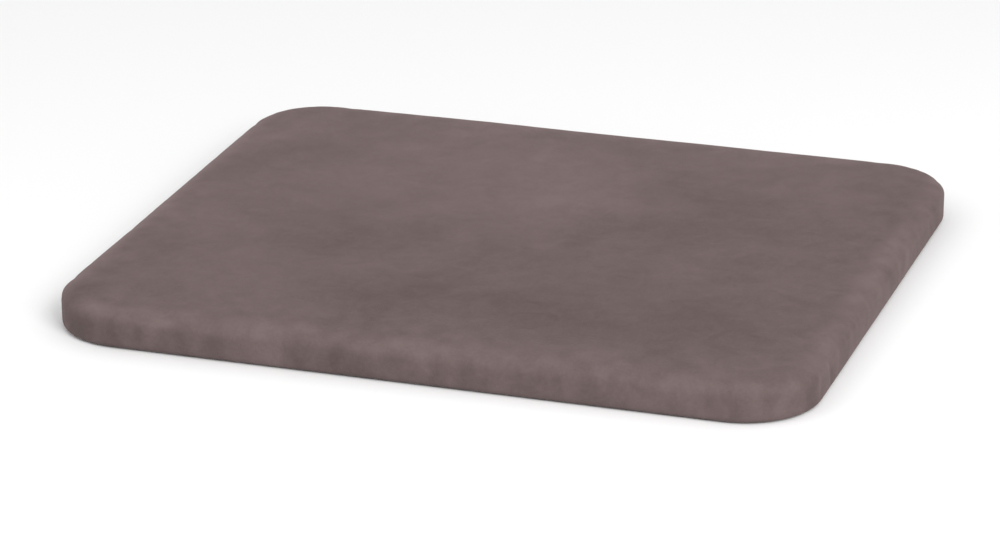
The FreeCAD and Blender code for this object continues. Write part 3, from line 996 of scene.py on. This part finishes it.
THREAD = speckled("thread", roughness=0.6, dark=(104, 92, 90), light=(158, 142, 138),
                  scale=900.0, grain=2600.0, bump=(0.08 * MM, 0.8), Sheen_Weight=0.3)
STITCHES = stitch_tree(THREAD)
hem_stitches = grow("hem_stitches", *hem_seam(), STITCHES, Step=3.2 * MM,
                    Strand_Length=2.9 * MM, Strand_Width=0.5 * MM)
finish_piece(hem_stitches, THREAD, "pad", "thread", "hem_thread")
zip_stitches = grow("zip_stitches", *zip_seam(), STITCHES, Step=2.4 * MM,
                    Strand_Length=2.2 * MM, Strand_Width=0.45 * MM)
finish_piece(zip_stitches, THREAD, "pad", "thread", "zip_thread")


# %% [markdown]
# ### The zip's coil
# A coil zip is a nylon strand wound into loops along each tape, so that the two rows mesh.
# Seen from outside, each loop is an oval ring. The tree sweeps a small round section along an
# oval and puts one at each step of the row, and the second row is shifted by half a step so
# that its loops fall between those of the first.

# %% Wind the coil
COIL_STEP = 1.5 * MM


def coil_tree(material):
    tree, start, end = new_tree("coil", Loop_Width=0.0022, Loop_Depth=0.0019,
                                Strand_Radius=0.0003)
    oval = add_node(tree, "GeometryNodeCurvePrimitiveCircle", Resolution=10, Radius=0.5)
    strand = math_node(tree, "MULTIPLY", start["Strand Radius"], 2.0)
    size = add_node(tree, "ShaderNodeCombineXYZ",
                    X=math_node(tree, "SUBTRACT", start["Loop Width"], strand),
                    Y=math_node(tree, "SUBTRACT", start["Loop Depth"], strand), Z=1.0)
    shaped = add_node(tree, "GeometryNodeTransform", Geometry=oval.outputs["Curve"],
                      Scale=size.outputs["Vector"])
    section = add_node(tree, "GeometryNodeCurvePrimitiveCircle", Resolution=5,
                       Radius=start["Strand Radius"])
    sweep = add_node(tree, "GeometryNodeCurveToMesh", Curve=shaped.outputs["Geometry"],
                     Profile_Curve=section.outputs["Curve"])
    # The oval is drawn flat, so it is stood up across the zip, its width along Z.
    stand = add_node(tree, "GeometryNodeTransform", Rotation=(0.0, math.pi / 2, 0.0),
                     Geometry=sweep.outputs["Mesh"])
    place_copies(tree, end, material, Points=start["Geometry"],
                 Instance=stand.outputs["Geometry"])
    return tree


NYLON = speckled("nylon", roughness=0.38, dark=(70, 61, 60), light=(98, 87, 86), scale=300.0,
                 grain=2200.0, bump=(0.03 * MM, 0.5))
COIL = coil_tree(NYLON)
MESHING = 0.35 * MM
for side, shift in (("upper", 0.0), ("lower", 0.5)):
    node = "zip_coil_" + side
    low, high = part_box(node)
    width = high.z - low.z + MESHING / 2
    outer = high.z if side == "upper" else low.z
    middle = outer - width / 2 if side == "upper" else outer + width / 2
    reach = high.x - low.x - 2 * MM
    steps = int(reach / COIL_STEP)
    spots = [(low.x + MM + (i + shift) * COIL_STEP, (low.y + high.y) / 2, middle)
             for i in range(steps)]
    coil = grow(node + "_loops", spots, [], COIL, Loop_Width=width,
                Loop_Depth=high.y - low.y, Strand_Radius=0.32 * MM)
    finish_piece(coil, NYLON, "pad", "zip_coil", node)


# %% [markdown]
# ### One piece from several meshes
# A tape, a slider and a clamp are each drawn as one or more closed meshes. A short helper joins
# them, merges doubled points and turns the faces outwards.

# %% Join meshes
def gather_meshes(name, meshes):
    """Joins meshes into one smooth piece, with doubled points merged and faces outwards."""
    shape = bmesh.new()
    for mesh in meshes:
        shape.from_mesh(mesh)
        bpy.data.meshes.remove(mesh)
    bmesh.ops.remove_doubles(shape, verts=shape.verts, dist=1e-6)
    bmesh.ops.recalc_face_normals(shape, faces=shape.faces)
    joined = bpy.data.meshes.new(name)
    shape.to_mesh(joined)
    shape.free()
    joined.shade_smooth()
    return link_object(name, joined)


# %% [markdown]
# ### The thread over the coil
# Each row of coil is held on its tape by a chain of thread that is sewn between its loops. It
# is the stitch tree again, with short fine strands, one to a loop.

# %% Sew the coil down
def coil_seams():
    """Two straight lines of points along the rows, with the edges that join them."""
    points, edges = [], []
    start_x, end_x = COIL_LOW.x + 2 * MM, COIL_HIGH.x - 2 * MM
    for way in (-1, 1):
        first = len(points)
        for x in (start_x, (start_x + end_x) / 2, end_x):
            points.append((x, COIL_HIGH.y - 0.02 * MM, ZIP_Z + way * 1.45 * MM))
        edges += [(first, first + 1), (first + 1, first + 2)]
    return points, edges


coil_thread = grow("coil_thread", *coil_seams(), STITCHES, Step=COIL_STEP,
                   Strand_Length=1.5 * MM, Strand_Width=0.26 * MM)
finish_piece(coil_thread, THREAD, "pad", "thread")


# %% [markdown]
# ### The tapes
# The two tapes are woven ribbons behind the wall, half a millimetre thick, with fine ribs that
# run along them and a thicker cord at each edge. One closed cross section is drawn, and it is
# carried along X with a slight waviness, because a sewn tape is never quite flat. A ribbon
# this narrow is webbing, and it isn't declared as a sheet.

# %% Weave the tapes
TAPE_CLOTH = make_cloth("tape_weave", 1600.0, linear(92, 80, 78), linear(72, 62, 61))
RIB = 0.65 * MM
TAPE_STEP = 2 * MM
WAVINESS = random.Random(5)


def tape_section(low, high):
    """The outline of a tape cut across, as (y, z) points: its ribbed face, then its back."""
    wide = high.z - low.z
    steps = 4 * int(wide / RIB)
    face, back = [], []
    for step in range(steps + 1):
        share = step / steps
        groove = 0.5 - 0.5 * math.cos(2 * math.pi * share * wide / RIB)
        cord = smooth_step(0.0, 0.12, min(share, 1 - share))
        sink = 0.07 * MM * groove + 0.06 * MM * float(cord)
        rounded = 0.1 * MM if step in (0, steps) else 0.0
        face.append((high.y - sink - rounded, low.z + share * wide))
        back.append((low.y + 0.5 * sink + rounded, low.z + share * wide))
    print("tape section", len(face) * 2, "points")
    return face + back[::-1]


def weave_tape(name, node):
    low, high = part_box(node)
    section = tape_section(low, high)
    count = int((high.x - low.x) / TAPE_STEP)
    phase = WAVINESS.uniform(0, 2 * math.pi)
    points, faces = [], []
    for step in range(count + 1):
        wave = 0.04 * MM * (math.sin(phase + step * 0.37) - 1)
        x = low.x + (high.x - low.x) * step / count
        points += [(x, max(y + wave, low.y), z) for y, z in section]
    around = len(section)
    for step in range(count):
        near, far = step * around, (step + 1) * around
        for i in range(around):
            j = (i + 1) % around
            faces.append((near + i, near + j, far + j, far + i))
    faces += [tuple(range(around)), tuple(range(count * around, (count + 1) * around))]
    mesh = bpy.data.meshes.new(name)
    mesh.from_pydata(points, [], faces)
    finish_piece(gather_meshes(name, [mesh]), TAPE_CLOTH, "pad", "zip_tape", node)


for side in ("upper", "lower"):
    weave_tape("woven_tape_" + side, "zip_tape_" + side)


# %% [markdown]
# ## Small metal parts
# The slider, its pull tab and the stops are cast or stamped. Each is drawn as a flat outline,
# with holes where it has them, then given a thickness and rounded edges. A 2D curve does all
# of that in one object, and it is turned into a mesh before it is put in its place.

# %% Worn metal
def make_metal_wear_group():
    tree, start, end = new_group("metal_wear", ("Color", "Roughness", "Height"),
                                 Metal_Color=linear(150, 147, 143),
                                 Dull_Color=linear(92, 89, 86), Gloss=0.28)
    clouds = noise_at(tree, start["Vector"], 420.0, detail=4.0, roughness=0.6)
    marks = noise_at(tree, start["Vector"], 2400.0)
    haze = math_node(tree, "MULTIPLY", clouds, 0.3)
    join(tree, mix_colors(tree, clouds, start["Metal Color"], start["Dull Color"]), end["Color"])
    join(tree, math_node(tree, "ADD", start["Gloss"], haze, clamp=True), end["Roughness"])
    join(tree, marks, end["Height"])
    return tree


METAL_WEAR = make_metal_wear_group()


def make_metal(name, metal, dull, gloss):
    material, tree, shader, place = new_material(name, 0.4, Metallic=1.0)
    wear = use_group(tree, METAL_WEAR, Vector=place, Metal_Color=metal, Dull_Color=dull,
                     Gloss=gloss)
    join(tree, wear["Roughness"], shader.inputs["Roughness"])
    coat(tree, shader, wear["Color"], wear["Height"], 0.02 * MM, 0.4)
    return material


CAST_METAL = make_metal("cast_zinc", linear(168, 163, 158), linear(70, 66, 63), 0.14)


# %% Stamp a flat shape
def round_box(x0, x1, y0, y1, radius, steps=4):
    """A rectangle with round corners, as a list of points."""
    points = []
    spots = ((x1, y1, 0), (x0, y1, 90), (x0, y0, 180), (x1, y0, 270))
    for x, y, start in spots:
        cx = x - radius if x == x1 else x + radius
        cy = y - radius if y == y1 else y + radius
        for step in range(steps + 1):
            turn = math.radians(start + 90 * step / steps)
            points.append((cx + radius * math.cos(turn), cy + radius * math.sin(turn)))
    return points


def stamped(loops, thickness, edge, turn, middle):
    """A flat shape with round edges. Turn stands it up, and middle is where its centre goes."""
    drawing = bpy.data.curves.new("stamp", "CURVE")
    drawing.dimensions = "2D"
    drawing.fill_mode = "BOTH"
    drawing.extrude = thickness / 2 - edge
    drawing.bevel_depth = edge
    drawing.bevel_resolution = 2
    drawing.offset = -edge
    for loop in loops:
        spline = drawing.splines.new("POLY")
        spline.points.add(len(loop) - 1)
        for point, (x, y) in zip(spline.points, loop):
            point.co = (x, y, 0, 1)
        spline.use_cyclic_u = True
    holder = link_object("stamp", drawing)
    mesh = bpy.data.meshes.new_from_object(evaluated(holder))
    bpy.data.objects.remove(holder)
    bpy.data.curves.remove(drawing)
    mesh.transform(Matrix.Translation(middle) @ turn)
    return mesh


# X of the drawing stays X. Upright: Y of the drawing becomes Z. Level: it stays Y.
UPRIGHT = Matrix.Rotation(math.pi / 2, 4, "X")
LEVEL = Matrix.Identity(4)


# %% [markdown]
# ### The slider
# The slider's two plates hold the rows between them. They are widest at the nose, where the
# rows come in apart, and narrow towards the tail. Two flanges reach in over the coil, a post
# at the nose joins the plates, and an arch on the outer plate carries the pull tab.

# %% Cast the slider
SLIDER_LOW, SLIDER_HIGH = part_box("zip_slider")
TAB_LOW, TAB_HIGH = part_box("zip_pull_tab")
PIVOT = Vector(next(j for j in frame["joints"] if j["name"] == "tab_swing")["pos_m"])
WALL = 1.1 * MM
PLATE_BACK = COIL_HIGH.y + 0.3 * MM


def slider_outline(half_tail, half_nose):
    """The plate's outline about the slider's middle: a rounded shield, wider at the nose."""
    half = (SLIDER_HIGH.x - SLIDER_LOW.x) / 2
    steps = 8
    side = []
    for step in range(steps + 1):
        share = step / steps
        swell_out = smooth_step(0.25, 0.8, share)
        side.append((-half + 0.9 * MM + share * (2 * half - 1.9 * MM),
                     half_tail + (half_nose - half_tail) * float(swell_out)))
    nose = [(half - 0.25 * MM, half_nose - 0.9 * MM), (half, half_nose - 1.9 * MM)]
    tail = [(-half + 0.2 * MM, half_tail - 0.5 * MM), (-half, half_tail - 1.3 * MM)]
    upper = tail[::-1] + side + nose
    return upper[::-1] + [(x, -y) for x, y in upper]


def arch_outline(half, high, wall):
    """An arch standing on its two legs, as one closed loop."""
    outer, inner, steps = [], [], 10
    for step in range(steps + 1):
        turn = math.pi * step / steps
        lean = math.copysign(abs(math.cos(turn)) ** 0.55, math.cos(turn))
        rise = math.sin(turn) ** 0.55
        outer.append((half * lean, high * rise))
        inner.append(((half - wall) * lean, (high - wall) * rise))
    return outer + inner[::-1]


def cast_slider():
    centre_x = (SLIDER_LOW.x + SLIDER_HIGH.x) / 2
    half_z = (SLIDER_HIGH.z - SLIDER_LOW.z) / 2
    plates = [(PLATE_BACK + WALL / 2, half_z), (SLIDER_LOW.y + WALL / 2, half_z - 0.2 * MM)]
    meshes = []
    for level, reach in plates:
        loop = slider_outline(reach - 0.25 * MM, reach)
        middle = (centre_x, level, ZIP_Z)
        meshes.append(stamped([loop], WALL, 0.28 * MM, UPRIGHT, middle))
    flange_back = COIL_LOW.y + 0.3 * MM
    flange_deep = PLATE_BACK + 0.3 * MM - flange_back
    for way in (-1, 1):
        loop = round_box(-3.4 * MM, 3.4 * MM, -flange_deep / 2, flange_deep / 2, 0.3 * MM)
        middle = (centre_x, flange_back + flange_deep / 2, ZIP_Z + way * (half_z - 0.36 * MM))
        meshes.append(stamped([loop], 0.66 * MM, 0.15 * MM, LEVEL, middle))
    post_low, post_high = SLIDER_LOW.y + 0.8 * MM, PLATE_BACK + 0.3 * MM
    loop = round_box(-1.0 * MM, 1.0 * MM, -0.43 * MM, 0.43 * MM, 0.3 * MM)
    middle = (SLIDER_HIGH.x - 1.15 * MM, (post_low + post_high) / 2, ZIP_Z)
    meshes.append(stamped([loop], post_high - post_low, 0.05 * MM, UPRIGHT, middle))
    foot_y = PLATE_BACK + WALL - 0.2 * MM
    loop = arch_outline(3.1 * MM, SLIDER_HIGH.y - foot_y, 0.85 * MM)
    middle = (PIVOT.x, foot_y, ZIP_Z)
    meshes.append(stamped([loop], 1.5 * MM, 0.2 * MM, LEVEL, middle))
    return gather_meshes("slider_cast", meshes)


finish_piece(cast_slider(), CAST_METAL, "slider", "zip_metal", "zip_slider")


# %% [markdown]
# ### The pull tab
# The tab hangs on the arch by a bar at its end. It narrows to a waist behind the eye and
# widens again to a round end that is easy to grip, with a slot that makes it lighter. It is
# drawn about the pivot, so that it turns truly under the arch.

# %% Stamp the tab
def tab_outline():
    length, half = PIVOT.x - TAB_LOW.x, (TAB_HIGH.z - TAB_LOW.z) / 2
    waist = 0.72 * half
    upper = [(0.35 * MM, half - 0.5 * MM), (-0.1 * MM, half), (-4.2 * MM, half)]
    for step in range(7):
        share = step / 6
        height = half + (waist - half) * math.sin(math.pi * share) ** 1.5
        upper.append((-4.6 * MM - share * (length - 8.6 * MM), height))
    for step in range(1, 9):
        turn = math.pi / 2 * step / 9
        upper.append((-length + 3.4 * MM - 3.4 * MM * math.sin(turn), half * math.cos(turn)))
    upper.append((-length, 0.0))
    return upper + [(x, -z) for x, z in upper[-2::-1]]


def stamp_tab():
    eye = round_box(-4.0 * MM, -0.35 * MM, -1.3 * MM, 1.3 * MM, 0.5 * MM)
    slot = round_box(-19.5 * MM, -12.5 * MM, -0.8 * MM, 0.8 * MM, 0.79 * MM)
    plate = stamped([tab_outline(), eye, slot], 1.0 * MM, 0.2 * MM, UPRIGHT, PIVOT)
    bar_half = (TAB_HIGH.z - TAB_LOW.z) / 2 - 0.3 * MM
    turns = [2 * math.pi * step / 16 for step in range(16)]
    radius = TAB_HIGH.x - PIVOT.x
    ring = [(radius * math.cos(t), radius * math.sin(t)) for t in turns]
    bar = stamped([ring], 2 * bar_half, 0.15 * MM, LEVEL, PIVOT)
    return gather_meshes("tab_stamping", [plate, bar])


finish_piece(stamp_tab(), CAST_METAL, "pull_tab", "zip_metal", "zip_pull_tab")

# %% [markdown]
# ### The stops
# A small clamp is pressed over both tapes at each end of the coil. It is a rounded block with
# a dent across its middle, where the press tool struck it.

# %% Press the stops
for side in ("top", "bottom"):
    node = "zip_%s_stop" % side
    low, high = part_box(node)
    middle = (low + high) / 2
    half_x, half_z = (high.x - low.x) / 2, (high.z - low.z) / 2
    deep = high.y - low.y
    body = round_box(-half_x, half_x, -half_z, half_z, 0.45 * MM)
    clamp = stamped([body], deep * 0.7, 0.2 * MM, UPRIGHT, middle - Vector((0, deep * 0.15, 0)))
    lugs = []
    for way in (-1, 1):
        lug = round_box(-half_x + 0.1 * MM, half_x - 0.1 * MM, -0.75 * MM, 0.75 * MM, 0.4 * MM)
        spot = middle + Vector((0, deep * 0.1, way * (half_z - 0.9 * MM)))
        lugs.append(stamped([lug], deep * 0.75, 0.2 * MM, UPRIGHT, spot))
    stop = gather_meshes("zip_%s_clamp" % side, [clamp] + lugs)
    finish_piece(stop, CAST_METAL, "pad", "zip_metal", node)

# %% [markdown]
# ## Studio
# The pad lies on a plain pale floor in soft light: one large lamp high on the right and
# towards the viewer, a weaker one on the left, and an even pale sky that fills the shadows.

# %% Floor, lamps and sky
def make_floor():
    mesh = bpy.data.meshes.new("floor")
    reach = 30.0
    corners = [(-reach, -reach, 0), (reach, -reach, 0), (reach, reach, 0), (-reach, reach, 0)]
    mesh.from_pydata(corners, [], [(0, 1, 2, 3)])
    material, _, _, _ = new_material("floor_paint", 0.9, Base_Color=(0.93, 0.93, 0.93, 1))
    mesh.materials.append(material)
    link_object("floor", mesh)


def add_lamp(name, place, size, watts):
    """A square area lamp that looks at the pad."""
    lamp = bpy.data.lights.new(name, "AREA")
    lamp.size = size
    lamp.energy = watts
    holder = link_object(name, lamp)
    holder.location = place
    holder.rotation_euler = (-Vector(place)).to_track_quat("-Z", "Y").to_euler()


def make_sky(strength):
    world = bpy.data.worlds.new("sky")
    world.use_nodes = True
    background = world.node_tree.nodes["Background"]
    background.inputs["Color"].default_value = (1, 1, 1, 1)
    background.inputs["Strength"].default_value = strength
    bpy.context.scene.world = world


make_floor()
add_lamp("key", place=(1.45, -1.6, 1.5), size=1.3, watts=40)
add_lamp("fill", place=(-1.6, -1.6, 1.8), size=1.6, watts=8)
make_sky(strength=0.78)


# %% [markdown]
# ## Camera
# A long lens from the front right, a little above the pad, keeps its far edge nearly as long
# as its near one. The camera is placed by turning round the pad and rising over it.

# %% Place the camera
def make_camera(azimuth, elevation, distance, target, lens, roll):
    """Azimuth 0 looks along +Y; a positive one stands to the right of that."""
    turn, rise = math.radians(azimuth), math.radians(elevation)
    back = Vector((math.sin(turn) * math.cos(rise), -math.cos(turn) * math.cos(rise),
                   math.sin(rise)))
    camera = link_object("camera", bpy.data.cameras.new("camera"))
    camera.data.lens = lens
    camera.location = Vector(target) + back * distance
    look = (-back).to_track_quat("-Z", "Y").to_matrix()
    camera.rotation_euler = (look @ Matrix.Rotation(math.radians(roll), 3, "Z")).to_euler()
    bpy.context.scene.camera = camera


make_camera(azimuth=18.24, elevation=20.80, distance=2.875, target=(-0.0081, -0.0113, 0.0),
            lens=153.75, roll=-0.18)
bpy.context.scene.view_settings.view_transform = "Standard"
